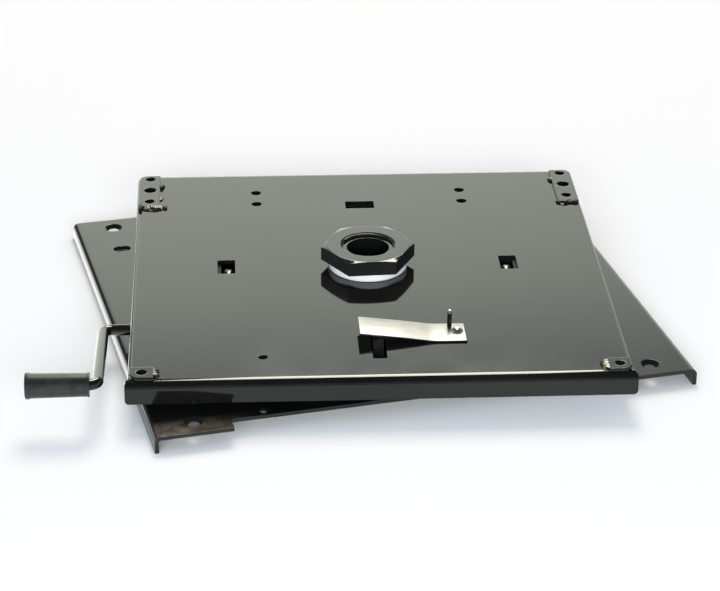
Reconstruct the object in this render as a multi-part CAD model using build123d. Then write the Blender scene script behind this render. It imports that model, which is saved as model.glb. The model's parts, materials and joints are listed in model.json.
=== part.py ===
from build123d import *
import os
from math import cos, radians, sin

# Swivel seat base: a folded base plate, a folded top plate that turns on a hollow
# threaded stud, three support rollers, and a sprung locking lever.
# Millimetres. Origin on the swivel axis at the base sheet's underside, +Z up,
# +X and +Y along the base plate. The top plate stands turned, as it was left.

# Sheet metal
sheet = 3.0
punch_radius = 0.8

# Base plate
base_width = 418.8
base_back = 182.6
base_front = -185.6
base_height = 13.5
base_bend = 5.0
ear_inner = 150.5
ear_depth = 12.6
ear_radius = 3.0
base_bolt_x = 177.2
base_bolt_back = 167.0
base_bolt_front = -169.4
base_bolt_diameter = 8.7
base_sink_diameter = 14.5
base_sink_depth = 2.4
twin_hole_x = -177.4
twin_hole_y = 125.0
twin_hole_diameter = 10.0
twin_hole_pitch = 4.4

# Top plate, in its own axes before the turn
top_turn = -11.81
plate_gap = 21.3
top_width = 374.0
top_depth = 368.0
top_axis_from_front = 188.0
top_height = 17.4
rear_flange_height = 21.0
top_bend = 6.5
side_bend = 3.4
corner_gap = 1.5
front_flange_past = 2.0
rear_flange_short = 4.0
flange_corner = 3.0
window_radial = 14.0
window_length = 24.0
window_radius = 113.0
slot_width = 10.6
slot_front = -156.5
slot_back = -97.0
rail_hole_x = 86.5
rail_hole_inset = 40.5
rail_hole_pitch = 21.9
rail_hole_diameter = 8.6
single_hole_x = -87.2
single_hole_y = -151.5
single_hole_diameter = 7.3

# Seat pads, welded on the top plate's corners
pad_thickness = 2.5
pad_width = 17.8
pad_overlap = 19.3
pad_edge = 0.6
pad_corner = 7.0
rear_pad_inset = 7.0
rear_pad_length = 61.7
rear_pad_hole_inset = 10.8
rear_pad_hole_start = 9.4
rear_pad_hole_pitch = 22.35
rear_pad_hole_diameters = (8.2, 10.3, 8.2)
front_pad_inset = 3.7
front_pad_length = 17.6
front_pad_hole_inset = 10.3
front_pad_hole_diameter = 7.8

# Pivot
thread_diameter = 42.0
stud_bore = 33.8
stud_flange_diameter = 90.0
stud_flange_height = 6.0
spigot_diameter = 50.0
stud_below_nut_top = 2.95
spacer_diameter = 72.0
bush_flange = 3.0
bush_wall = 3.0
glide_ring_diameter = 63.0
glide_ring_height = 6.4
glide_ring_edge = 0.5
nut_across_flats = 65.0
nut_height = 12.0
nut_sides = 6
nut_turn = -8.6
nut_chamfer_radial = 4.9
nut_chamfer_height = 1.2
thread_lead_in = 1.0

# Support rollers, at the left, right and rear windows
roller_names = {"right": 0.0, "rear": 90.0, "left": 180.0}
roller_diameter = 21.0
roller_width = 9.0
roller_radius = 111.5
roller_hub_diameter = 12.0
roller_hub_proud = 0.8
roller_crown = 3.8
axle_diameter = 8.0
axle_head_diameter = 12.0
axle_head_height = 1.8
bracket_sheet = 3.0
bracket_height = 17.0
bracket_end_play = 1.0
bracket_bend = 4.5

# Locking lever
rod_diameter = 8.5
rod_y = -82.0
rod_depth = 11.5
rod_bend = 6.5
rod_weld_stub = 2.0
elbow_outside = 21.0
arm_length = 110.0
arm_rise = 7.0
grip_stand_off = 5.8
grip_length = 46.6
grip_diameter = 17.2
grip_outer_diameter = 18.6
grip_collar = 0.5
grip_collar_length = 3.5
grip_lip_length = 1.6
grip_end_wall = 5.0
grip_round = 1.2
dog_thickness = 8.0
dog_hub_diameter = 15.0
dog_arm_over = 4.5
dog_arm_under = 6.5
dog_ramp_foot = -100.0
dog_ramp_top = -107.0
dog_front = -136.0
dog_tooth_length = 22.0
dog_round = 3.0
dog_tooth_chamfer = 1.5
lock_slot_play = 2.0
lever_bracket_width = 22.0
lever_bracket_drop = 16.0
lever_bracket_return = 22.0
lever_bracket_bend = 4.5
clip_diameter = 14.0
clip_thickness = 1.2

# Leaf spring on the top plate
spring_thickness = 1.5
spring_width = 28.0
spring_y = -120.0
spring_foot_end = 67.3
spring_tip = -14.3
spring_bend_x = 42.5
spring_knee_x = 18.0
spring_knee_rise = 3.65
spring_tip_rise = 7.5
spring_bend_radius = 60.0
spring_knee_radius = 150.0
rivet_x = 60.7
rivet_y = -118.7
rivet_head_diameter = 9.5
rivet_head_height = 3.2
rivet_shank_diameter = 5.0
rivet_foot_diameter = 8.0
rivet_foot_height = 1.5
stop_pin_x = 55.7
stop_pin_y = -108.8
stop_pin_diameter = 3.5
stop_pin_height = 14.6
stop_pin_tip = 1.4

# Clearances
running_fit = 0.06
seat_fit = 0.03
side_play = 0.3
floor_play = 0.3

# Levels and places that follow
base_top = sheet
top_under = base_top + plate_gap
top_face = top_under + sheet
nut_bottom = top_face + glide_ring_height
stud_radius = thread_diameter / 2
stud_top = nut_bottom + nut_height - stud_below_nut_top
flange_top = base_top + stud_flange_height
bush_under = top_under - bush_flange
bush_bore = stud_radius + running_fit
bush_sleeve = bush_bore + bush_wall
rod_radius = rod_diameter / 2
rod_z = top_face - rod_depth
rod_hole = rod_radius + running_fit
top_front = -top_axis_from_front
top_back = top_front + top_depth
rail_hole_back = top_back - rail_hole_inset
pad_inner = top_width / 2 - pad_overlap
pad_outer = pad_inner + pad_width
rear_pad_front = top_back - rear_pad_inset - rear_pad_length
rear_pad_hole_x = top_width / 2 - rear_pad_hole_inset
front_pad_front = top_front + front_pad_inset
front_pad_hole_x = top_width / 2 - front_pad_hole_inset
front_pad_hole_y = front_pad_front + front_pad_length / 2
elbow_x = -top_width / 2 - elbow_outside
grip_inner = elbow_x - grip_stand_off
lever_lug_inner = -dog_thickness / 2 - side_play
lever_lug_outer = lever_lug_inner - sheet
roller_z = base_top + floor_play + roller_diameter / 2
dog_tooth_back = dog_front + dog_tooth_length
beyond = 1.0
whole_turn = 360.0


def block(x0, x1, y0, y1, z0, z1):
    """A box given by its limits along each axis."""
    box = Box(x1 - x0, y1 - y0, z1 - z0)
    return Pos((x0 + x1) / 2, (y0 + y1) / 2, (z0 + z1) / 2) * box


def post(diameter, z0, z1, x=0.0, y=0.0):
    """An upright cylinder from z0 to z1."""
    return Pos(x, y, (z0 + z1) / 2) * Cylinder(diameter / 2, z1 - z0)


def bar(diameter, x0, x1, y, z):
    """A cylinder along X from x0 to x1."""
    return Pos((x0 + x1) / 2, y, z) * Rot(0, 90, 0) * Cylinder(diameter / 2, x1 - x0)


def ring(outer, inner, z0, z1):
    """An upright ring on the swivel axis, between two diameters."""
    return post(outer, z0, z1) - post(inner, z0 - beyond, z1 + beyond)


def through(diameter, x, y, top):
    """A cutter for a round hole through one sheet or pad whose upper face is at top."""
    return post(diameter, top - sheet - beyond, top + pad_thickness + beyond, x, y)


def punched(width, length, x, y, top):
    """A cutter for a punched rectangle with small corner radii, through one sheet."""
    outline = Pos(x, y, top - sheet - beyond) * RectangleRounded(width, length, punch_radius)
    return extrude(outline, sheet + 2 * beyond)


def fold_section(left, right, top, height, bend):
    """Section of a sheet folded down at both sides, bend being the outside radius."""
    low = top - height
    middle = (left + right) / 2
    outer = Pos(middle, top - height / 2) * Rectangle(right - left, height)
    outer = fillet(outer.vertices().group_by(Axis.Y)[-1], bend)
    inner_height = height - sheet + beyond
    inner = Pos(middle, low - beyond + inner_height / 2)
    inner = inner * Rectangle(right - left - 2 * sheet, inner_height)
    inner = fillet(inner.vertices().group_by(Axis.Y)[-1], bend - sheet)
    return outer - inner


def along_y(section, y0, y1):
    """Carries a section drawn in X and Z along Y."""
    return extrude(Plane.XZ.offset(-y1) * section, y1 - y0)


def along_x(section, x0, x1):
    """Carries a section drawn in Y and Z along X."""
    return extrude(Plane.YZ.offset(x0) * section, x1 - x0)


def turned(shape):
    """Turns a piece of the top plate about the swivel axis to where it was left."""
    return Rot(0, 0, top_turn) * shape


def base_plate():
    """Sheet folded down at both sides, with two front ears, countersunk bolt holes and lock slots."""
    half = base_width / 2
    plate = along_y(fold_section(-half, half, base_top, base_height, base_bend), base_front, base_back)
    recess_back = base_front + ear_depth
    recess = block(-ear_inner, ear_inner, base_front - beyond, recess_back, -beyond, base_top + beyond)
    corners = recess.edges().filter_by(Axis.Z).group_by(Axis.Y)[-1]
    plate -= fillet(corners, ear_radius)
    for x in (-base_bolt_x, base_bolt_x):
        for y in (base_bolt_front, base_bolt_back):
            plate -= through(base_bolt_diameter, x, y, base_top)
            sink = Cone(base_bolt_diameter / 2, base_sink_diameter / 2, base_sink_depth)
            plate -= Pos(x, y, base_top - base_sink_depth / 2) * sink
    for x, y, diameter in (
        (twin_hole_x - twin_hole_pitch / 2, twin_hole_y, twin_hole_diameter),
        (twin_hole_x + twin_hole_pitch / 2, twin_hole_y, twin_hole_diameter),
        (0.0, 0.0, spigot_diameter + 2 * seat_fit),
    ):
        plate -= through(diameter, x, y, base_top)
    lock_middle = dog_front + dog_tooth_length / 2
    for y in (lock_middle, -lock_middle):
        width = dog_thickness + lock_slot_play
        plate -= punched(width, dog_tooth_length + 2 * lock_slot_play, 0.0, y, base_top)
    return plate


def pivot_stud():
    """Hollow stud: a spigot through the base sheet, a flange on it and the threaded neck."""
    stud = post(spigot_diameter, 0.0, base_top)
    stud += post(stud_flange_diameter, base_top, flange_top)
    neck = post(thread_diameter, flange_top, stud_top)
    stud += chamfer(neck.edges().group_by(Axis.Z)[-1], thread_lead_in)
    return stud - post(stud_bore, -beyond, stud_top + beyond)


def pivot_spacer():
    """Steel ring on the stud's flange that carries the bush."""
    return ring(spacer_diameter, thread_diameter + 2 * seat_fit, flange_top, bush_under - running_fit)


def pivot_bush():
    """Flanged plastic bush in the top plate, turning on the stud."""
    bush = post(spacer_diameter, bush_under, top_under)
    bush += post(2 * bush_sleeve, top_under, top_face)
    return bush - post(2 * bush_bore, bush_under - beyond, top_face + beyond)


def upper_glide_ring():
    """White plastic ring between the top plate and the nut."""
    body = ring(
        glide_ring_diameter, thread_diameter + 2 * seat_fit, top_face + running_fit, nut_bottom
    )
    rims = body.edges().filter_by(GeomType.CIRCLE).sort_by(SortBy.RADIUS)[-2:]
    return chamfer(rims, glide_ring_edge)


def pivot_nut():
    """Thin hexagon nut, chamfered on top, with a lead-in to its thread."""
    corner_radius = nut_across_flats / 2 / cos(radians(whole_turn / nut_sides / 2))
    nut_top = nut_bottom + nut_height
    hexagon = extrude(Pos(0, 0, nut_bottom) * RegularPolygon(corner_radius, nut_sides), nut_height)
    crown = post(2 * corner_radius, nut_bottom, nut_top)
    upper_rim = crown.edges().filter_by(GeomType.CIRCLE).group_by(Axis.Z)[-1]
    crown = chamfer(upper_rim, nut_chamfer_height, nut_chamfer_radial)
    nut = hexagon & crown
    bore = stud_radius + seat_fit
    nut -= post(2 * bore, nut_bottom - beyond, nut_top + beyond)
    lead = Pos(0, 0, nut_top - thread_lead_in / 2)
    nut -= lead * Cone(bore, bore + thread_lead_in, thread_lead_in)
    return Rot(0, 0, nut_turn) * nut


def rear_pad_holes():
    """Places and diameters of the right rear pad's holes."""
    first = rear_pad_front + rear_pad_hole_start
    rows = enumerate(rear_pad_hole_diameters)
    return [(rear_pad_hole_x, first + count * rear_pad_hole_pitch, diameter) for count, diameter in rows]


def front_pad_holes():
    """Place and diameter of the right front pad's hole."""
    return [(front_pad_hole_x, front_pad_hole_y, front_pad_hole_diameter)]


def top_plate():
    """Sheet folded down at all four sides, open at its corners, punched for the mechanism."""
    half = top_width / 2
    flat = half - side_bend
    bend_front = top_front + top_bend
    bend_back = top_back - top_bend
    across = fold_section(-half, half, top_face, top_height, side_bend)
    plate = along_y(across, bend_front + corner_gap, bend_back - corner_gap)
    plate += block(-flat, flat, bend_front, bend_back, top_under, top_face)
    deep = fold_section(top_front, top_back, top_face, rear_flange_height, top_bend)
    for y0, y1, reach, height in (
        (top_front, bend_front, half + front_flange_past, top_height),
        (bend_back, top_back, half - rear_flange_short, rear_flange_height),
    ):
        face = Pos(0, top_face - height / 2) * RectangleRounded(2 * reach, height, flange_corner)
        plate += along_x(deep, -reach, reach) & along_y(face, y0, y1)
    for angle in roller_names.values():
        window = punched(window_radial, window_length, window_radius, 0.0, top_face)
        plate -= Rot(0, 0, angle) * window
    slot_middle = (slot_front + slot_back) / 2
    plate -= punched(slot_width, slot_back - slot_front, 0.0, slot_middle, top_face)
    plate -= through(2 * (bush_sleeve + seat_fit), 0.0, 0.0, top_face)
    plate -= through(single_hole_diameter, single_hole_x, single_hole_y, top_face)
    for side in (-1, 1):
        for y in (rail_hole_back, rail_hole_back - rail_hole_pitch):
            plate -= through(rail_hole_diameter, side * rail_hole_x, y, top_face)
        for x, y, diameter in rear_pad_holes() + front_pad_holes():
            plate -= through(diameter, side * x, y, top_face)
    plate -= bar(2 * rod_hole, -half - beyond, -half + sheet + beyond, rod_y, rod_z)
    plate -= through(rivet_shank_diameter, rivet_x, rivet_y, top_face)
    plate -= through(stop_pin_diameter, stop_pin_x, stop_pin_y, top_face)
    return turned(plate)


def seat_pad(side, y0, length, round_end, holes):
    """Welded corner plate: a flat bar with its outer corner at round_end rounded, and holes."""
    x0, x1 = sorted((side * pad_inner, side * pad_outer))
    pad = block(x0, x1, y0, y0 + length, top_face, top_face + pad_thickness)
    uprights = pad.edges().filter_by(Axis.Z)
    outer_edges = uprights.group_by(Axis.X)[-1 if side > 0 else 0]
    pad = fillet(outer_edges.sort_by(Axis.Y)[round_end], pad_corner)
    for x, y, diameter in holes:
        pad -= through(diameter, side * x, y, top_face)
    rim = pad.faces().sort_by(Axis.Z)[-1].outer_wire().edges()
    return turned(chamfer(rim, pad_edge))


def rear_pad(side):
    """Long pad with three holes; its rear outer corner is rounded."""
    return seat_pad(side, rear_pad_front, rear_pad_length, -1, rear_pad_holes())


def front_pad(side):
    """Square pad with one hole; its front outer corner is rounded."""
    return seat_pad(side, front_pad_front, front_pad_length, 0, front_pad_holes())


def cheek_limits():
    """Radial limits of a roller bracket: its outside, and its inside, from the axis out."""
    inside = roller_width / 2 + roller_hub_proud + side_play
    outside = inside + bracket_sheet
    return roller_radius - outside, roller_radius - inside, roller_radius + inside, roller_radius + outside


def placed_roller(shape, angle):
    """Puts a piece drawn at the right window beneath another window."""
    return turned(Rot(0, 0, angle) * shape)


def roller_bracket(angle):
    """Strip bent to a U in plan, welded by its upper edge under the window."""
    inner_face, inner_side, outer_side, outer_face = cheek_limits()
    half = roller_diameter / 2 + bracket_end_play + bracket_sheet
    low = top_under - bracket_height
    strip = block(inner_face, outer_face, -half, half, low, top_under)
    bends = strip.edges().filter_by(Axis.Z).group_by(Axis.Y)[-1]
    strip = fillet(bends, bracket_bend)
    room = block(
        inner_side, outer_side, -half - beyond, half - bracket_sheet, low - beyond, top_under + beyond
    )
    bends = room.edges().filter_by(Axis.Z).group_by(Axis.Y)[-1]
    strip -= fillet(bends, bracket_bend - bracket_sheet)
    strip -= bar(axle_diameter + 2 * seat_fit, inner_face - beyond, outer_face + beyond, 0.0, roller_z)
    return placed_roller(strip, angle)


def roller_axle(angle):
    """Pin riveted over at both ends of the bracket."""
    inner_face, _, _, outer_face = cheek_limits()
    pin = bar(axle_diameter, inner_face, outer_face, 0.0, roller_z)
    for x0 in (inner_face - axle_head_height, outer_face):
        head = bar(axle_head_diameter, x0, x0 + axle_head_height, 0.0, roller_z)
        outwards = head.edges().filter_by(GeomType.CIRCLE).sort_by(Axis.X)
        pin += chamfer(outwards[0 if x0 < inner_face else -1], axle_head_height / 2)
    return placed_roller(pin, angle)


def roller(angle):
    """Plastic roller with a crowned tread and proud hubs, running on its axle."""
    tread_in = roller_radius - roller_width / 2
    tread_out = roller_radius + roller_width / 2
    tread = bar(roller_diameter, tread_in, tread_out, 0.0, roller_z)
    tread = fillet(tread.edges().filter_by(GeomType.CIRCLE), roller_crown)
    hub_in = tread_in - roller_hub_proud
    hub_out = tread_out + roller_hub_proud
    wheel = tread + bar(roller_hub_diameter, hub_in, hub_out, 0.0, roller_z)
    wheel -= bar(axle_diameter + 2 * running_fit, hub_in - beyond, hub_out + beyond, 0.0, roller_z)
    return placed_roller(wheel, angle)


def arm_end():
    """Y and Z of the lever's outer elbow, at the end of its arm."""
    return rod_y - arm_length * cos(radians(arm_rise)), rod_z + arm_length * sin(radians(arm_rise))


def lever_rod():
    """Round rod bent twice: the bearing length, the arm and the grip's core."""
    y, z = arm_end()
    core_end = grip_inner - grip_length + grip_end_wall
    path = FilletPolyline(
        (dog_thickness / 2 + rod_weld_stub, rod_y, rod_z),
        (elbow_x, rod_y, rod_z),
        (elbow_x, y, z),
        (core_end, y, z),
        radius=rod_bend,
    )
    section = Plane(origin=path @ 0, z_dir=path % 0) * Circle(rod_radius)
    return turned(sweep(section, path))


def lever_grip():
    """Moulded sleeve, thicker towards its outer end, with a collar there and a lip at its inner end."""
    y, z = arm_end()
    outer_end = grip_inner - grip_length
    inner_radius = grip_diameter / 2
    outer_radius = grip_outer_diameter / 2
    taper = Cone(outer_radius, inner_radius, grip_length)
    sleeve = Pos(outer_end + grip_length / 2, y, z) * Rot(0, 90, 0) * taper
    sleeve += bar(2 * (outer_radius + grip_collar), outer_end, outer_end + grip_collar_length, y, z)
    sleeve += bar(2 * (inner_radius + grip_collar), grip_inner - grip_lip_length, grip_inner, y, z)
    rims = sleeve.edges().filter_by(GeomType.CIRCLE).sort_by(Axis.X)
    sleeve = fillet(rims[0], grip_round)
    sleeve -= bar(rod_diameter, outer_end + grip_end_wall, grip_inner + beyond, y, z)
    return turned(sleeve)


def spring_rise(x):
    """Height of the leaf spring's underside over the top plate on its free arm."""
    slope = (spring_tip_rise - spring_knee_rise) / (spring_knee_x - spring_tip)
    return spring_knee_rise + (spring_knee_x - x) * slope


def corner(profile, across, up):
    """The corner of a flat profile nearest to a point."""
    return profile.vertices().sort_by_distance((across, up, 0.0))[0]


def lock_dog():
    """Flat lever on the rod's end: a hump under the leaf spring and a tooth over the base."""
    hump = top_face + spring_rise(dog_thickness / 2) - seat_fit
    tooth = base_top + floor_play
    over = rod_z + dog_arm_over
    under = rod_z - dog_arm_under
    outline = Polyline(
        (rod_y, over),
        (dog_ramp_foot, over),
        (dog_ramp_top, hump),
        (dog_front, hump),
        (dog_front, tooth),
        (dog_tooth_back, tooth),
        (dog_tooth_back, under),
        (rod_y, under),
        close=True,
    )
    profile = make_face(outline)
    for across, up in (
        (dog_ramp_foot, over),
        (dog_ramp_top, hump),
        (dog_front, hump),
        (dog_tooth_back, under),
    ):
        profile = fillet(corner(profile, across, up), dog_round)
    for across in (dog_front, dog_tooth_back):
        profile = chamfer(corner(profile, across, tooth), dog_tooth_chamfer)
    half = dog_thickness / 2
    dog = along_x(profile, -half, half)
    dog += bar(dog_hub_diameter, -half, half, rod_y, rod_z)
    dog -= bar(rod_diameter, -half - beyond, half + beyond, rod_y, rod_z)
    return turned(dog)


def lever_bracket():
    """Strip bent to an L in plan, welded by its upper edge; the rod's inner bearing."""
    return_end = lever_lug_outer - lever_bracket_return
    low = top_under - lever_bracket_drop
    y0 = rod_y - lever_bracket_width / 2
    y1 = rod_y + lever_bracket_width / 2
    strip = block(return_end, lever_lug_inner, y0, y1, low, top_under)
    outer_bend = strip.edges().filter_by(Axis.Z).group_by(Axis.Y)[-1].sort_by(Axis.X)[-1]
    strip = fillet(outer_bend, lever_bracket_bend)
    room = block(
        return_end - beyond, lever_lug_outer, y0 - beyond, y1 - sheet, low - beyond, top_under + beyond
    )
    inner_bend = room.edges().filter_by(Axis.Z).group_by(Axis.Y)[-1].sort_by(Axis.X)[-1]
    strip -= fillet(inner_bend, lever_bracket_bend - sheet)
    strip -= bar(2 * rod_hole, lever_lug_outer - beyond, lever_lug_inner + beyond, rod_y, rod_z)
    return turned(strip)


def lever_clip():
    """Push-on washer that keeps the rod from sliding out of its bracket."""
    inner = lever_lug_outer - side_play
    outer = inner - clip_thickness
    clip = bar(clip_diameter, outer, inner, rod_y, rod_z)
    return turned(clip - bar(rod_diameter, outer - beyond, inner + beyond, rod_y, rod_z))


def leaf_spring():
    """Strip riveted flat at its right end and bent up over the lock dog at its left end."""
    path = FilletPolyline(
        (spring_foot_end, top_face + spring_thickness / 2),
        (spring_bend_x, top_face + spring_thickness / 2),
        (spring_knee_x, top_face + spring_knee_rise + spring_thickness / 2),
        (spring_tip, top_face + spring_tip_rise + spring_thickness / 2),
        radius=[spring_bend_radius, spring_knee_radius],
    )
    path = Plane.XZ.offset(-spring_y) * path
    section = Plane(origin=path @ 0, x_dir=(0, 1, 0), z_dir=path % 0)
    strip = sweep(section * Rectangle(spring_width, spring_thickness), path)
    strip -= through(rivet_shank_diameter, rivet_x, rivet_y, top_face)
    strip -= through(stop_pin_diameter, stop_pin_x, stop_pin_y, top_face)
    return turned(strip)


def spring_rivet():
    """Round-head rivet through the spring and the top plate, set over below."""
    seat = top_face + spring_thickness
    head_radius = rivet_head_diameter / 2
    ball_radius = (head_radius**2 + rivet_head_height**2) / (2 * rivet_head_height)
    ball = Pos(rivet_x, rivet_y, seat + rivet_head_height - ball_radius) * Sphere(ball_radius)
    upper = post(2 * ball_radius + beyond, seat, seat + 2 * ball_radius, rivet_x, rivet_y)
    rivet = (ball & upper) + post(rivet_shank_diameter, top_under, seat, rivet_x, rivet_y)
    foot = post(rivet_foot_diameter, top_under - rivet_foot_height, top_under, rivet_x, rivet_y)
    return turned(rivet + chamfer(foot.edges().group_by(Axis.Z)[0], rivet_foot_height / 2))


def stop_pin():
    """Upright round-topped pin through the spring's edge that keeps the spring from turning."""
    pin = post(stop_pin_diameter, top_under, top_face + stop_pin_height, stop_pin_x, stop_pin_y)
    return turned(fillet(pin.edges().group_by(Axis.Z)[-1], stop_pin_tip))


pieces = {
    "base_plate": base_plate(),
    "pivot_stud": pivot_stud(),
    "pivot_spacer": pivot_spacer(),
    "pivot_bush": pivot_bush(),
    "upper_glide_ring": upper_glide_ring(),
    "pivot_nut": pivot_nut(),
    "top_plate": top_plate(),
    "rear_left_pad": rear_pad(-1),
    "rear_right_pad": rear_pad(1),
    "front_left_pad": front_pad(-1),
    "front_right_pad": front_pad(1),
    "leaf_spring": leaf_spring(),
    "spring_rivet": spring_rivet(),
    "spring_stop_pin": stop_pin(),
    "lever_bracket": lever_bracket(),
    "lever_rod": lever_rod(),
    "lever_grip": lever_grip(),
    "lever_clip": lever_clip(),
    "lock_dog": lock_dog(),
}
for place, angle in roller_names.items():
    pieces["roller_bracket_" + place] = roller_bracket(angle)
    pieces["roller_axle_" + place] = roller_axle(angle)
    pieces["roller_" + place] = roller(angle)

os.makedirs("parts", exist_ok=True)
for name, shape in pieces.items():
    export_step(shape, "parts/" + name + ".step")
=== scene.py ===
"""Looks of a swivel seat base: gloss black folded sheet, a bright leaf spring, weld beads and a thread."""

import json
from math import atan2, cos, pi, radians, sin

import bmesh
import bpy
import numpy as np
from mathutils import Matrix, Vector


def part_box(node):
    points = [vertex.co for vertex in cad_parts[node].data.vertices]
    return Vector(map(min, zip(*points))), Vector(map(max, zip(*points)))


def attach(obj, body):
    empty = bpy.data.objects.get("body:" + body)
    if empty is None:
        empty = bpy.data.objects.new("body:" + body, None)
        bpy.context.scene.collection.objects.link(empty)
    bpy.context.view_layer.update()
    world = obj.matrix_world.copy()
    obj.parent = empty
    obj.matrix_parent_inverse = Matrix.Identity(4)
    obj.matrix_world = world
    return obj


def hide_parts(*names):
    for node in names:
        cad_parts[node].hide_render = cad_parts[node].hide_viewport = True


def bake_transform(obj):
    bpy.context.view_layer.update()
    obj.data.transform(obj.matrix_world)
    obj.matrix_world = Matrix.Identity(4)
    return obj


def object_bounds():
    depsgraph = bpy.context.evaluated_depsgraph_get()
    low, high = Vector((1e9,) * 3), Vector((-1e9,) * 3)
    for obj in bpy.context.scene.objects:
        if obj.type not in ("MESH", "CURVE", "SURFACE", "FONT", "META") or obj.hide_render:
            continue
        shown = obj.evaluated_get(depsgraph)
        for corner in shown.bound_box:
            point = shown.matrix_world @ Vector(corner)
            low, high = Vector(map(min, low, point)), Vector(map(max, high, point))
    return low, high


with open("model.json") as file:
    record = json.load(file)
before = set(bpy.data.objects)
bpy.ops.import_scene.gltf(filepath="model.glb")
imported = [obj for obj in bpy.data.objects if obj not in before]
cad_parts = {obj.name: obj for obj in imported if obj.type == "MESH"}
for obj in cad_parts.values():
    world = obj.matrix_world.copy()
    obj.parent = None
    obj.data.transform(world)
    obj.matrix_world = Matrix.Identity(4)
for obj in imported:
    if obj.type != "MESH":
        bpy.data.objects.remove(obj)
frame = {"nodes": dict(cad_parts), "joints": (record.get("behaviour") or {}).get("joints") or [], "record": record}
cad_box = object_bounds()
nodes = frame["nodes"]
joints = {joint["name"]: joint for joint in frame["joints"]}

# The object's sizes and the camera's place are in millimetres, which MM brings to the frame's metres.
# The studio's sizes are in metres, and its angles are in degrees
MM = 0.001
FULL_TURN = 2 * pi

# Levels in metres, and the angle in radians at which the top plate stands, from the frame
plate_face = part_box("top_plate")[1].z
stud_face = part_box("pivot_stud")[1].z
nut_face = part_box("pivot_nut")[1].z
floor_level = cad_box[0].z
lever_axis = joints["lever_turn"]["axis"]
top_turn = atan2(-lever_axis[1], -lever_axis[0])

# Leaf spring, in the top plate's own axes
SPRING_FOOT = 67.3
SPRING_TIP = -14.3
SPRING_MIDDLE_Y = -120.0
SPRING_WIDTH = 28.0
SPRING_THICKNESS = 1.5
SPRING_EDGE = 0.35
SPRING_BEND_X = 42.5
SPRING_BEND_REACH = 4.5
SPRING_KNEE_X = 18.0
SPRING_KNEE_REACH = 2.2
SPRING_KNEE_RISE = 3.65
SPRING_TIP_RISE = 7.5
SPRING_HELD_X = 46.0
SPRING_LIFTED_X = 8.0
SPRING_STEPS = 160
SPRING_CORNER_STEPS = 5

# Seat pads, in the top plate's own axes
PAD_INNER = 167.7
PAD_OUTER = 185.5
REAR_PAD_FRONT = 111.3
FRONT_PAD_BACK = -166.7
FRONT_PAD_FRONT = -184.3

# Weld beads round the pads
BEAD_LUMPS = 0.12
BEAD_OVERLAP = 0.9
BEAD_ROOT = 0.2
BEAD_NOSE = 6
BEAD_WIDTH_REACH = 24
BEAD_HEIGHT_REACH = 40
BEAD_STEPS_PER_MM = 6
BEAD_LEAST_STEPS = 30
BEAD_CROWN_STEPS = 18
LUMP_SEED = 7

# Thread in the nut, above the stud. The ridge's corners are shares of a pitch
THREAD_ROOT = 21.0
THREAD_CREST = 20.3
THREAD_PITCH = 0.9
THREAD_RIDGE = (0.04, 0.42, 0.58, 0.96)
THREAD_CLEARANCE = 0.1
THREAD_LEAD_IN = 0.7
THREAD_STEPS = 160

# Tones of the finishes, each from dark to light
ENAMEL_TONES = ((0.004, 0.0043, 0.004), (0.007, 0.0074, 0.0068))
NUT_TONES = ((0.012, 0.0128, 0.0125), (0.019, 0.020, 0.0195))
WELD_TONES = ((0.006, 0.006, 0.005), (0.34, 0.30, 0.17))
BLACK_NYLON_TONES = ((0.010, 0.010, 0.010), (0.018, 0.018, 0.017))
WHITE_NYLON_TONES = ((0.82, 0.83, 0.83), (0.90, 0.91, 0.91))
SPRING_TONES = ((0.158, 0.154, 0.153), (0.208, 0.203, 0.202))
TURNED_TONES = ((0.50, 0.50, 0.46), (0.62, 0.61, 0.57))
BLACKENED_TONES = ((0.004, 0.004, 0.004), (0.009, 0.009, 0.008))
PIN_HIGHLIGHT_TONES = ((0.008, 0.0085, 0.008), (0.60, 0.60, 0.58))
RUBBER_TONES = ((0.010, 0.012, 0.011), (0.022, 0.025, 0.022))

# How round the paint leaves an edge
SHEET_EDGE = 0.5
PAD_EDGE = 1.1

# Scale on the welds, over the range of a random pattern
WELD_SCALE_START = 0.60
SCALY_WELD_START = 0.51
SCALE_TONE_SPAN = 0.16
SCALE_DULL_SPAN = 0.2

# Painted light: a pale warm patch on the base's front left ear, measured back from the front edge and leftward
# from the middle
EAR_LIGHT_TONE = (0.17, 0.145, 0.115)
EAR_LIGHT_FULL = 6.0
EAR_LIGHT_END = 22.0
EAR_LIGHT_LEFT = 190.0
EAR_LIGHT_RIGHT = 130.0

# Stop pin's bright tip, a painted highlight, measured down from its top
PIN_DARK_BELOW = 2.6
PIN_BRIGHT_ABOVE = 1.6
PIN_UNEVEN = 0.5

# Camera, in the row frame
CAMERA_PLACE = (-467.3, -1676.1, 892.85)
CAMERA_YAW = 15.385
CAMERA_PITCH = 27.181
CAMERA_ROLL = 0.579
CAMERA_LENS = 121.36
SENSOR_WIDTH = 36.0

# Surroundings for reflections, as ramps of a place and a colour or a grey level. The backdrop's and the
# room's heights run from 0 at the rear horizon over 0.5 at the zenith to 1 in front, and the backdrop's
# sides from 0 at the left to 1 at the right. The glow around runs from 0 in front to 1 behind, and from 0
# straight down to 1 straight up
BACKDROP_GLOW = 2.14
BACKDROP_TILT = -6.0
BACKDROP_RISE = ((0.0, (0.94, 1.0, 0.87)), (0.136, (0.94, 1.0, 0.87)), (0.150, (0.84, 0.91, 0.78)),
                 (0.157, (0.65, 0.68, 0.62)), (0.163, (0.47, 0.49, 0.46)), (0.19, 0.20), (0.22, 0.0))
BACKDROP_SIDE = ((0.24, 0.0), (0.285, 1.0), (0.48, 1.0), (0.52, 0.93), (0.547, 0.86), (0.60, 0.66),
                 (0.70, 0.50), (0.76, 0.0))
AROUND_GLOW = 0.8
AROUND_SIDE = ((0.0, 0.35), (0.25, 0.60), (0.50, 1.0), (0.70, 0.60), (0.80, 0.0))
AROUND_RISE = ((0.50, 0.30), (0.55, 1.0), (0.68, 1.0), (0.76, 0.0))
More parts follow.
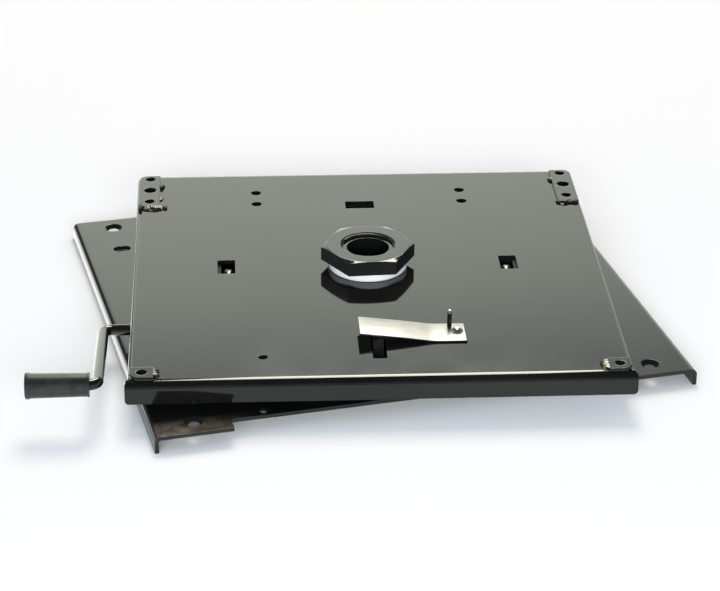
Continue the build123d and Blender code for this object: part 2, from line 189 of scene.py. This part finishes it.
ROOM_RISE = ((0.0, 0.30), (0.25, 0.05), (0.75, 0.05), (1.0, 0.18))

# Fill light on matt faces, and the floor
FILL_TONE = (0.32, 0.35, 0.375)
FLOOR_TONE = (0.714, 0.714, 0.714)
FLOOR_LIFT = (0.19, 0.21, 0.24)
FLOOR_HALF = 8.0
FLOOR_NEAR = 0.42
FLOOR_FAR = 0.95
FLOOR_SHADE_REACH = 0.025
BLACK = (0.0, 0.0, 0.0)
WHITE = (1.0, 1.0, 1.0)

# Bright panel on the floor, and how far the rear softbox stands aside of the camera's direction
PANEL_WIDTH = 0.7
PANEL_LENGTH = 0.95
PANEL_MIDDLE_Y = 0.375
PANEL_POWER = 2.7
PANEL_COLOUR = (1.0, 1.0, 0.92)
SOFTBOX_ASIDE = 4.5

random = np.random.default_rng(LUMP_SEED)


def on_top(x, y, z):
    """Turns places in the top plate's axes by its angle a: x cos a - y sin a, x sin a + y cos a; mm to m."""
    turned_x = x * cos(top_turn) - y * sin(top_turn)
    turned_y = x * sin(top_turn) + y * cos(top_turn)
    return np.stack(np.broadcast_arrays(turned_x * MM, turned_y * MM, z * MM), axis=-1)


def in_scene(name, data):
    """A new object of the scene that holds a mesh, a lamp or a camera."""
    added = bpy.data.objects.new(name, data)
    bpy.context.scene.collection.objects.link(added)
    return added


def skin(name, rows, finish):
    """A closed skin over rows of points: each row is a loop, row i joins row i + 1, and the mean point
    of the first and last row caps it."""
    count, around = rows.shape[:2]
    places = np.concatenate([rows.reshape(-1, 3), rows[:1].mean(axis=1), rows[-1:].mean(axis=1)])
    index = np.arange(count * around).reshape(count, around)
    beside = np.roll(index, -1, axis=1)
    sides = np.stack([index[:-1], beside[:-1], beside[1:], index[1:]], axis=-1).reshape(-1, 4)
    first = np.full(around, count * around)
    caps = np.concatenate([
        np.stack([first, beside[0], index[0]], axis=-1),
        np.stack([first + 1, index[-1], beside[-1]], axis=-1),
    ])
    mesh = bpy.data.meshes.new(name)
    mesh.from_pydata(places.tolist(), [], sides.tolist() + caps.tolist())
    work = bmesh.new()
    work.from_mesh(mesh)
    bmesh.ops.recalc_face_normals(work, faces=work.faces)
    work.to_mesh(mesh)
    work.free()
    mesh.shade_smooth()
    mesh.materials.append(finish)
    piece = in_scene(name, mesh)
    return piece


# Materials


class NodeTree:
    """A tree of shader nodes, with short ways to add and join them. A value is another node's output or a
    plain number, and a tone is an output or a plain colour."""

    def __init__(self, tree):
        self.tree = tree

    def add(self, kind, **settings):
        """A new node with these settings."""
        node = self.tree.nodes.new(kind)
        for key, value in settings.items():
            setattr(node, key, value)
        return node

    def join(self, source, target):
        """Leads an output to an input; a plain number or colour is set on the input itself."""
        if isinstance(source, bpy.types.NodeSocket):
            self.tree.links.new(source, target)
        elif isinstance(source, tuple):
            target.default_value = (*source, 1.0)
        else:
            target.default_value = source

    def axes(self, vector):
        """A vector's X, Y and Z, by name."""
        node = self.add("ShaderNodeSeparateXYZ")
        self.join(vector, node.inputs["Vector"])
        return node.outputs

    def calculate(self, operation, *values):
        """The outcome of one operation on two or three values."""
        node = self.add("ShaderNodeMath", operation=operation)
        for value, socket in zip(values, node.inputs):
            self.join(value, socket)
        return node.outputs["Value"]

    def mix(self, share, first, second, way="MIX"):
        """The first tone where share is 0 and the second laid over it in the given way where share is 1."""
        node = self.add("ShaderNodeMix", data_type="RGBA", blend_type=way)
        for value, socket in ((share, "Factor"), (first, "A"), (second, "B")):
            self.join(value, node.inputs[socket])
        return node.outputs["Result"]

    def ramp(self, value, stops):
        """A tone that changes with value; each stop is a place and a colour or a grey level."""
        node = self.add("ShaderNodeValToRGB")
        elements = node.color_ramp.elements
        while len(elements) < len(stops):
            elements.new(0.5)
        for element, (place, tone) in zip(elements, stops):
            element.position = place
            element.color = (*tone, 1.0) if isinstance(tone, tuple) else (tone, tone, tone, 1.0)
        self.join(value, node.inputs["Fac"])
        return node.outputs["Color"]


class Finish(NodeTree):
    """A material's node tree with its main shader and the patterns that its look is made of."""

    def __init__(self, name, **looks):
        self.material = bpy.data.materials.new(name)
        self.material.use_nodes = True
        super().__init__(self.material.node_tree)
        self.shader = self.tree.nodes["Principled BSDF"]
        self.place = self.add("ShaderNodeTexCoord").outputs["Object"]
        self.give(**looks)

    def give(self, **looks):
        """Leads values and tones to the shader's inputs, whose names are written with _ for a space."""
        for name, source in looks.items():
            self.join(source, self.shader.inputs[name.replace("_", " ")])

    def noise(self, scale, detail=2.0, place=None):
        """Soft random pattern from 0 to 1, scale being its grains per metre."""
        node = self.add("ShaderNodeTexNoise")
        node.inputs["Scale"].default_value = scale
        node.inputs["Detail"].default_value = detail
        self.join(place or self.place, node.inputs["Vector"])
        return node.outputs["Fac"]

    def shades(self, value, tones, start=0.35, end=0.65):
        """Colours from the first tone to the second as value goes from start to end."""
        return self.ramp(value, tuple(zip((start, end), tones)))

    def span(self, value, low, high, start=0.3, end=0.7):
        """A number from low to high as value goes from start to end."""
        node = self.add("ShaderNodeMapRange")
        for socket, number in (("From Min", start), ("From Max", end), ("To Min", low), ("To Max", high)):
            node.inputs[socket].default_value = number
        self.join(value, node.inputs["Value"])
        return node.outputs["Result"]

    def along(self, grains):
        """Object coordinates in the top plate's axes, with this many units to the metre along each."""
        node = self.add("ShaderNodeMapping", vector_type="TEXTURE")
        node.inputs["Rotation"].default_value = (0.0, 0.0, top_turn)
        node.inputs["Scale"].default_value = [1 / count for count in grains]
        self.join(self.place, node.inputs["Vector"])
        return node.outputs["Vector"]

    def bumps(self, height, depth, edge=None):
        """Lets height, 0 to 1, raise the surface by depth, over edges rounded by edge."""
        node = self.add("ShaderNodeBump")
        node.inputs["Distance"].default_value = depth * MM
        self.join(height, node.inputs["Height"])
        if edge:
            rounding = self.add("ShaderNodeBevel", samples=6)
            rounding.inputs["Radius"].default_value = edge * MM
            self.join(rounding.outputs["Normal"], node.inputs["Normal"])
        self.give(Normal=node.outputs["Normal"])


def gloss_black(name, edge, tones, with_ear_light=False):
    """Black stove enamel: nearly black under a mirror-like face with faint orange peel, run round the edges.
    Where asked, a pale warm patch of painted light lies on the base's front left ear."""
    enamel = Finish(name, IOR=1.47)
    tone = enamel.shades(enamel.noise(14.0, detail=3.0), tones)
    if with_ear_light:
        # Painted light: a pale warm patch mixed into the enamel's colour on the front left ear
        tone = enamel.mix(painted_ear_light(enamel), tone, EAR_LIGHT_TONE)
    enamel.give(Base_Color=tone, Roughness=enamel.span(enamel.noise(30.0), low=0.045, high=0.075))
    enamel.bumps(enamel.noise(220.0, detail=1.0), depth=0.0012, edge=edge)
    return enamel.material


def painted_ear_light(enamel):
    """Painted light from 0 to 1 on the base's front left ear, a pale warm glow: patchy, on its upper face alone,
    and stronger towards the front edge and the left."""
    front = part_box("base_plate")[0].y
    place = enamel.axes(enamel.place)
    facing = enamel.axes(enamel.add("ShaderNodeNewGeometry").outputs["Normal"])
    forward = enamel.span(place["Y"], 1.0, 0.0, start=front + EAR_LIGHT_FULL * MM, end=front + EAR_LIGHT_END * MM)
    leftward = enamel.span(place["X"], 1.0, 0.0, start=-EAR_LIGHT_LEFT * MM, end=-EAR_LIGHT_RIGHT * MM)
    upward = enamel.span(facing["Z"], 0.0, 1.0, start=0.7, end=0.95)
    patchy = enamel.span(enamel.noise(140.0, detail=4.0), low=0.25, high=1.0)
    region = enamel.calculate("MULTIPLY", forward, leftward)
    return enamel.calculate("MULTIPLY", region, enamel.calculate("MULTIPLY", upward, patchy))


def weld_black(name, start):
    """The same enamel run over a weld, with a yellowish scale where it is thin: where a random pattern
    goes past start."""
    enamel = Finish(name, IOR=1.5)
    scale = enamel.noise(170.0)
    enamel.give(Base_Color=enamel.shades(scale, WELD_TONES, start, start + SCALE_TONE_SPAN),
                Roughness=enamel.span(scale, 0.06, 0.25, start, start + SCALE_DULL_SPAN))
    enamel.bumps(enamel.noise(600.0, detail=1.0), depth=0.012)
    return enamel.material


def black_nylon():
    """Black moulded nylon, polished by running."""
    nylon = Finish("black_nylon", IOR=1.53)
    nylon.give(Base_Color=nylon.shades(nylon.noise(90.0), BLACK_NYLON_TONES),
               Roughness=nylon.span(nylon.noise(150.0), low=0.10, high=0.18))
    return nylon.material


def white_nylon():
    """Off-white nylon, a little waxy."""
    nylon = Finish("white_nylon", IOR=1.5)
    nylon.give(Base_Color=nylon.shades(nylon.noise(60.0), WHITE_NYLON_TONES),
               Roughness=nylon.span(nylon.noise(150.0), low=0.28, high=0.42))
    nylon.bumps(nylon.noise(400.0), depth=0.01, edge=2.8)
    return nylon.material


def bright_steel(name, tones, smooth, dull, grains):
    """Bare steel with a grain, of which there are this many to the metre along each of the top plate's axes;
    its roughness goes from smooth to dull."""
    steel = Finish(name, Metallic=1.0)
    grain = steel.noise(1.0, detail=3.0, place=steel.along(grains))
    steel.give(Base_Color=steel.shades(grain, tones), Roughness=steel.span(grain, smooth, dull))
    steel.bumps(grain, depth=0.006, edge=0.3)
    return steel.material


def dull_black(name, ior):
    """Blackened steel without enamel; ior sets how much it still shines."""
    steel = Finish(name, IOR=ior)
    steel.give(Base_Color=steel.shades(steel.noise(200.0), BLACKENED_TONES),
               Roughness=steel.span(steel.noise(300.0), low=0.25, high=0.4))
    steel.bumps(steel.noise(500.0), depth=0.01, edge=0.4)
    return steel.material


def pin_painted_highlight():
    """Enamelled steel that turns to bright bare steel at its tip: a painted highlight on the pin's top."""
    pin = Finish("pin_painted_highlight", IOR=1.5)
    height = pin.calculate("MULTIPLY_ADD", pin.noise(900.0), PIN_UNEVEN * MM, pin.axes(pin.place)["Z"])
    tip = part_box("spring_stop_pin")[1].z
    # Painted highlight: the tip's colour and metalness turn to bright steel here
    bright = pin.span(height, 0.0, 1.0, start=tip - PIN_DARK_BELOW * MM, end=tip - PIN_BRIGHT_ABOVE * MM)
    pin.give(Base_Color=pin.shades(bright, PIN_HIGHLIGHT_TONES, start=0.1, end=0.9), Metallic=bright,
             Roughness=pin.span(pin.noise(300.0), low=0.10, high=0.25))
    return pin.material


def grip_rubber():
    """Nearly black moulded rubber with a dull sheen."""
    rubber = Finish("grip_rubber", IOR=1.5)
    rubber.give(Base_Color=rubber.shades(rubber.noise(120.0, detail=3.0), RUBBER_TONES),
                Roughness=rubber.span(rubber.noise(300.0), low=0.30, high=0.42))
    rubber.bumps(rubber.noise(1500.0), depth=0.02, edge=0.4)
    return rubber.material


paint = gloss_black("gloss_black", SHEET_EDGE, ENAMEL_TONES)
pad_paint = gloss_black("pad_black", PAD_EDGE, ENAMEL_TONES)
# The base's enamel carries the painted light on its front left ear
base_paint = gloss_black("base_black", SHEET_EDGE, ENAMEL_TONES, with_ear_light=True)
nut_paint = gloss_black("nut_black", SHEET_EDGE, NUT_TONES)
weld = weld_black("weld_black", WELD_SCALE_START)
scaly_weld = weld_black("weld_scale", SCALY_WELD_START)
ring_nylon = white_nylon()
roller_nylon = black_nylon()
spring_steel = bright_steel("spring_steel", SPRING_TONES, smooth=0.30, dull=0.44, grains=(60.0, 400.0, 400.0))
turned_steel = bright_steel("turned_steel", TURNED_TONES, smooth=0.26, dull=0.40, grains=(60.0, 60.0, 500.0))
dog_steel = dull_black("dog_black", ior=1.3)
bracket_steel = dull_black("bracket_black", ior=1.13)
pin_steel = pin_painted_highlight()
rubber = grip_rubber()

slot_finishes = {
    "black_paint": paint,
    "bare_steel": turned_steel,
    "spring_steel": spring_steel,
    "white_plastic": ring_nylon,
    "black_plastic": roller_nylon,
    "grip_rubber": rubber,
}
own_finishes = {
    base_paint: ("base_plate",),
    nut_paint: ("pivot_nut",),
    pad_paint: ("rear_left_pad", "rear_right_pad", "front_left_pad", "front_right_pad"),
    dog_steel: ("lock_dog",),
    bracket_steel: ("roller_bracket_right", "roller_bracket_rear", "roller_bracket_left"),
    pin_steel: ("spring_stop_pin",),
}
for part in frame["record"]["subparts"]:
    nodes[part["node"]].material_slots[0].material = slot_finishes[part["material_slot"]]
for own_finish, node_names in own_finishes.items():
    for node_name in node_names:
        nodes[node_name].material_slots[0].material = own_finish


# Leaf spring


def eased_ramp(distance, reach):
    """0 before -reach, distance after +reach, and the parabola (d + r)^2 / 4r that joins them between."""
    inside = np.clip(distance + reach, 0.0, 2 * reach)
    return inside**2 / (4 * reach) + np.maximum(distance - reach, 0.0)


def spring_height(x):
    """Underside of the spring over the plate: flat at the foot, then two slopes with eased corners."""
    first = SPRING_KNEE_RISE / (SPRING_BEND_X - SPRING_KNEE_X)
    second = (SPRING_TIP_RISE - SPRING_KNEE_RISE) / (SPRING_KNEE_X - SPRING_TIP)
    rise = first * eased_ramp(SPRING_BEND_X - x, SPRING_BEND_REACH)
    return rise + (second - first) * eased_ramp(SPRING_KNEE_X - x, SPRING_KNEE_REACH)


def rounded_loop(width, height, radius, corner_steps):
    """Outline of a rectangle with quarter-circle corners, as across and up arrays."""
    angle = np.linspace(0.0, pi / 2, corner_steps)
    turns = angle[None, :] + np.arange(4)[:, None] * pi / 2
    side_x = np.array([1, -1, -1, 1])[:, None] * (width / 2 - radius)
    side_y = np.array([1, 1, -1, -1])[:, None] * (height / 2 - radius)
    return (side_x + radius * np.cos(turns)).ravel(), (side_y + radius * np.sin(turns)).ravel()


def leaf_spring():
    """A rounded rectangle carried along the height curve. Within the edge radius r of either end, at a
    distance e from it, both its sizes are less by 2 (r - sqrt(r^2 - (r - e)^2)), which rounds the ends."""
    level = plate_face / MM
    x = np.linspace(SPRING_FOOT, SPRING_TIP, SPRING_STEPS)
    ends = np.minimum(np.abs(x - SPRING_FOOT), np.abs(x - SPRING_TIP))
    shrink = SPRING_EDGE - np.sqrt(SPRING_EDGE**2 - np.clip(SPRING_EDGE - ends, 0.0, SPRING_EDGE) ** 2)
    across, up = rounded_loop(SPRING_WIDTH, SPRING_THICKNESS, SPRING_EDGE, SPRING_CORNER_STEPS)
    y = SPRING_MIDDLE_Y + across[None, :] * (1 - 2 * shrink[:, None] / SPRING_WIDTH)
    middle = spring_height(x)[:, None] + SPRING_THICKNESS / 2
    z = middle + up[None, :] * (1 - 2 * shrink[:, None] / SPRING_THICKNESS) + level
    piece = skin("spring_strip", on_top(x[:, None], y, z), spring_steel)
    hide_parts("leaf_spring")
    held = on_top(SPRING_HELD_X, SPRING_MIDDLE_Y, level)
    lifted = on_top(SPRING_LIFTED_X, SPRING_MIDDLE_Y, level)
    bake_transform(piece)


leaf_spring()


# Weld beads round the seat pads


def smooth_lumps(steps, reach):
    """Random numbers of unit size along a run, each the sum of reach normal draws over sqrt(reach)."""
    draws = random.normal(0.0, 1.0, steps + reach - 1)
    return np.convolve(draws, np.ones(reach) / np.sqrt(reach), "valid")


def weld_bead(name, outward, edge, start, end, width, height, tilt, finish):
    """A weld run along a pad's edge from start to end. Across it, s going from 0 on the pad to 1 on the
    plate, its height is (1 - tilt s) sqrt(1 - s^n) of the whole, so a sloping face ends in a steep nose.
    Both sizes are drawn in at the ends by sqrt(1 - (2 way - 1)^n) and vary by smooth random lumps; n is
    BEAD_NOSE."""
    steps = max(BEAD_LEAST_STEPS, int(abs(end - start) * BEAD_STEPS_PER_MM))
    way = np.linspace(0.0, 1.0, steps)
    ends = np.sqrt(np.clip(1 - (2 * way - 1) ** BEAD_NOSE, 0.0, 1.0))
    wide = (width * ends * (1 + BEAD_LUMPS * smooth_lumps(steps, BEAD_WIDTH_REACH)))[:, None]
    high = (height * ends * (1 + BEAD_LUMPS * smooth_lumps(steps, BEAD_HEIGHT_REACH)))[:, None]
    slope = (tilt * (1 + BEAD_LUMPS * smooth_lumps(steps, BEAD_HEIGHT_REACH)))[:, None]
    s = 1 - np.linspace(1.0, 0.0, BEAD_CROWN_STEPS) ** 2
    across = np.concatenate([BEAD_OVERLAP * (s - 1) + wide * s, wide, 0 * wide - BEAD_OVERLAP], axis=1)
    crown = high * (1 - slope * s) * np.sqrt(1 - s**BEAD_NOSE)
    root = 0 * wide - BEAD_ROOT
    up = np.concatenate([crown, root, root], axis=1)
    run = start + way[:, None] * (end - start)
    x = (edge if outward[0] else run) + across * outward[0]
    y = (edge if outward[1] else run) + across * outward[1]
    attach(skin(name, on_top(x, y, plate_face / MM + up), finish), "top")


AHEAD = (0.0, -1.0)
BEHIND = (0.0, 1.0)
LEFTWARD = (-1.0, 0.0)
RIGHTWARD = (1.0, 0.0)

# Each bead's way outward, the edge that it runs along, its start, end, width, height, tilt and finish
beads = {
    "rear_left_weld": {
        "inner": (RIGHTWARD, -PAD_INNER, 149.0, 156.0, 3.8, 2.7, 0.0, dog_steel),
        "middle": (RIGHTWARD, -PAD_INNER, 126.0, 132.0, 3.0, 1.6, 0.5, weld),
        "front": (AHEAD, REAR_PAD_FRONT, -PAD_OUTER + 3.0, -PAD_INNER + 3.0, 4.4, 2.9, 0.45, scaly_weld),
        "start": (AHEAD, REAR_PAD_FRONT + 1.0, -PAD_OUTER - 0.3, -PAD_OUTER + 3.2, 6.4, 3.3, 0.1, dog_steel),
        "stop": (AHEAD, REAR_PAD_FRONT + 2.0, -PAD_INNER + 2.6, -PAD_INNER + 6.4, 4.6, 2.0, 0.0, dog_steel),
    },
    "rear_right_weld": {
        "inner": (LEFTWARD, PAD_INNER, 153.0, 159.5, 2.8, 2.6, 0.3, weld),
        "front": (AHEAD, REAR_PAD_FRONT, PAD_INNER - 2.0, PAD_OUTER - 1.0, 2.8, 2.7, 0.0, dog_steel),
        "drop": (AHEAD, REAR_PAD_FRONT - 2.0, PAD_INNER + 1.0, PAD_INNER + 6.5, 3.2, 1.3, 0.5, weld),
        "stop": (AHEAD, REAR_PAD_FRONT + 2.0, PAD_OUTER - 3.6, PAD_OUTER - 0.2, 5.6, 3.2, 0.05, dog_steel),
    },
    "front_left_weld": {
        "inner": (RIGHTWARD, -PAD_INNER, FRONT_PAD_FRONT + 1.0, FRONT_PAD_BACK, 3.8, 2.9, 0.4, weld),
        "back": (BEHIND, FRONT_PAD_BACK, -PAD_OUTER + 2.0, -PAD_INNER + 1.0, 1.6, 2.3, 0.3, weld),
    },
    "front_right_weld": {
        "inner": (LEFTWARD, PAD_INNER, FRONT_PAD_FRONT + 1.0, FRONT_PAD_BACK, 4.6, 3.1, 0.4, scaly_weld),
        "back": (BEHIND, FRONT_PAD_BACK, PAD_INNER, PAD_OUTER - 3.0, 1.4, 2.2, 0.3, weld),
    },
}
for pad_weld, pad_beads in beads.items():
    for bead_name, bead in pad_beads.items():
        weld_bead(f"{pad_weld}_{bead_name}", *bead)


# Thread


def nut_thread():
    """A helix: a ridge of two roots and a flat crest, turned about Z as it climbs one pitch a turn."""
    low = stud_face / MM + THREAD_CLEARANCE
    high = nut_face / MM - THREAD_LEAD_IN
    turns = (high - low) / THREAD_PITCH - 1
    angle = np.linspace(0.0, FULL_TURN * turns, THREAD_STEPS)
    radius = np.array([THREAD_ROOT, THREAD_CREST, THREAD_CREST, THREAD_ROOT])
    climb = THREAD_PITCH * np.array(THREAD_RIDGE)
    x = np.cos(angle)[:, None] * radius
    y = np.sin(angle)[:, None] * radius
    z = low + THREAD_PITCH * angle[:, None] / FULL_TURN + climb
    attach(skin("nut_thread", np.stack([x, y, z], axis=-1) * MM, paint), "base")


nut_thread()


# Floor, light and camera


def studio_floor():
    """A large pale floor at the feet, lifted towards white for the camera and for reflections alone. The lift is
    less where the object closes it in, which paints shade there, and the floor runs out into plain white
    further off."""
    mesh = bpy.data.meshes.new("floor")
    corners = [(-FLOOR_HALF, -FLOOR_HALF), (FLOOR_HALF, -FLOOR_HALF), (FLOOR_HALF, FLOOR_HALF),
               (-FLOOR_HALF, FLOOR_HALF)]
    mesh.from_pydata([(x, y, floor_level) for x, y in corners], [], [(0, 1, 2, 3)])
    floor = in_scene("floor", mesh)
    finish = Finish("floor_white", Roughness=1.0, Specular_IOR_Level=0.0)
    distance = finish.add("ShaderNodeVectorMath", operation="LENGTH")
    finish.join(finish.place, distance.inputs[0])
    far = finish.span(distance.outputs["Value"], 0.0, 1.0, start=FLOOR_NEAR, end=FLOOR_FAR)
    ray = finish.add("ShaderNodeLightPath").outputs
    seen = finish.calculate("MAXIMUM", ray["Is Camera Ray"], ray["Is Glossy Ray"])
    # Painted shade: the lift dims where the object closes the floor in
    openness = finish.add("ShaderNodeAmbientOcclusion", samples=8)
    openness.inputs["Distance"].default_value = FLOOR_SHADE_REACH
    finish.give(Base_Color=finish.shades(far, (FLOOR_TONE, BLACK), start=0.0, end=1.0),
                Emission_Color=finish.shades(far, (FLOOR_LIFT, WHITE), start=0.0, end=1.0),
                Emission_Strength=finish.calculate("MULTIPLY", seen, openness.outputs["AO"]))
    mesh.materials.append(finish.material)


def studio_world():
    """White for the camera, a plain cool fill for matt faces, and for reflections a dim room with a bright
    backdrop behind the object and a weaker glow round its other sides. The backdrop's tone is one ramp over
    the angle from the rear horizon up to the zenith and on to the front, times another over how far to the
    side a ray goes; the glow's is a ramp over how far up, times another over how far behind."""
    world = bpy.data.worlds.new("studio")
    bpy.context.scene.world = world
    world.use_nodes = True
    studio = NodeTree(world.node_tree)

    def turned(direction, *angles):
        """A direction turned about X, Y and Z."""
        node = studio.add("ShaderNodeMapping")
        node.inputs["Rotation"].default_value = [radians(angle) for angle in angles]
        studio.join(direction, node.inputs["Vector"])
        return node.outputs["Vector"]

    def glow(strength, first, second):
        """One tone times another, made stronger or weaker."""
        node = studio.add("ShaderNodeVectorMath", operation="SCALE")
        node.inputs["Scale"].default_value = strength
        studio.join(studio.mix(1.0, first, second, "MULTIPLY"), node.inputs[0])
        return node.outputs["Vector"]

    def together(first, second):
        """One tone plus another."""
        node = studio.add("ShaderNodeVectorMath", operation="ADD")
        studio.join(first, node.inputs[0])
        studio.join(second, node.inputs[1])
        return node.outputs["Vector"]

    facing = turned(studio.add("ShaderNodeTexCoord").outputs["Generated"], 0.0, 0.0, CAMERA_YAW)
    direction = studio.axes(turned(facing, 0.0, BACKDROP_TILT, 0.0))
    rise = studio.calculate("DIVIDE", studio.calculate("ARCTAN2", direction["Z"], direction["Y"]), pi)
    # Each axis is brought from -1 to 1 down to 0 to 1
    aside, behind, raised = (studio.calculate("MULTIPLY_ADD", direction[axis], 0.5, 0.5) for axis in "XYZ")
    backdrop = glow(BACKDROP_GLOW, studio.ramp(rise, BACKDROP_RISE), studio.ramp(aside, BACKDROP_SIDE))
    around = glow(AROUND_GLOW, studio.ramp(raised, AROUND_RISE), studio.ramp(behind, AROUND_SIDE))
    room = together(together(backdrop, around), studio.ramp(rise, ROOM_RISE))
    ray = studio.add("ShaderNodeLightPath").outputs
    lit = studio.mix(ray["Is Glossy Ray"], FILL_TONE, room)
    shown = studio.mix(ray["Is Camera Ray"], lit, WHITE)
    studio.join(shown, studio.tree.nodes["Background"].inputs["Color"])


def area_lamp(name, width, height, power, colour):
    """A rectangular lamp that the camera doesn't see."""
    lamp = bpy.data.lights.new(name, "AREA")
    lamp.shape = "RECTANGLE"
    lamp.size = width
    lamp.size_y = height
    lamp.energy = power
    lamp.color = colour
    box = in_scene(name, lamp)
    box.visible_camera = False
    return box


def softbox(name, azimuth, elevation, distance, width, height, power, colour, matt, gloss):
    """A lamp facing the object from a compass angle (0 behind, along +Y) and a height angle; matt and gloss
    say whether it lights matt faces and whether it shows in reflections."""
    box = area_lamp(name, width, height, power, colour)
    compass = radians(azimuth)
    climb = radians(elevation)
    toward = Vector((sin(compass) * cos(climb), cos(compass) * cos(climb), sin(climb)))
    box.location = toward * distance
    box.rotation_euler = toward.to_track_quat("Z", "Y").to_euler()
    box.visible_diffuse = matt
    box.visible_glossy = gloss


def floor_panel():
    """A bright panel that lies on the floor along the base's left side and shows in reflections alone."""
    panel = area_lamp("floor_panel", PANEL_WIDTH, PANEL_LENGTH, PANEL_POWER, PANEL_COLOUR)
    base_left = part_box("base_plate")[0].x
    panel.location = (base_left - PANEL_WIDTH / 2, PANEL_MIDDLE_Y, floor_level + MM)
    panel.rotation_euler = (pi, 0.0, 0.0)
    panel.visible_diffuse = False


def photo_camera():
    """Looks along yaw and pitch and is rolled about its own axis, all three fitted to the photograph."""
    yaw, pitch, roll = radians(CAMERA_YAW), radians(CAMERA_PITCH), radians(CAMERA_ROLL)
    ahead = Vector((sin(yaw) * cos(pitch), cos(yaw) * cos(pitch), -sin(pitch)))
    level = Vector((cos(yaw), -sin(yaw), 0.0))
    upright = level.cross(ahead)
    right = cos(roll) * level + sin(roll) * upright
    up = cos(roll) * upright - sin(roll) * level
    data = bpy.data.cameras.new("photo_camera")
    data.sensor_fit = "HORIZONTAL"
    data.sensor_width = SENSOR_WIDTH
    data.lens = CAMERA_LENS
    camera = in_scene("photo_camera", data)
    turn = Matrix((right, up, -ahead)).transposed().to_4x4()
    camera.matrix_world = Matrix.Translation(Vector(CAMERA_PLACE) * MM) @ turn
    bpy.context.scene.camera = camera


studio_floor()
studio_world()
softbox("rear_softbox", azimuth=CAMERA_YAW + SOFTBOX_ASIDE, elevation=54.5, distance=2.4, width=0.72,
        height=1.89, power=68.0, colour=(1.0, 1.0, 0.84), matt=False, gloss=True)
softbox("rear_key", azimuth=CAMERA_YAW, elevation=62.0, distance=2.4, width=0.9,
        height=1.29, power=33.0, colour=(1.0, 0.87, 0.75), matt=True, gloss=False)
softbox("front_fill", azimuth=CAMERA_YAW + 180.0, elevation=20.0, distance=3.0, width=2.5,
        height=0.8, power=100.0, colour=(0.93, 0.98, 1.0), matt=True, gloss=False)
floor_panel()
photo_camera()
bpy.context.scene.view_settings.view_transform = "Standard"
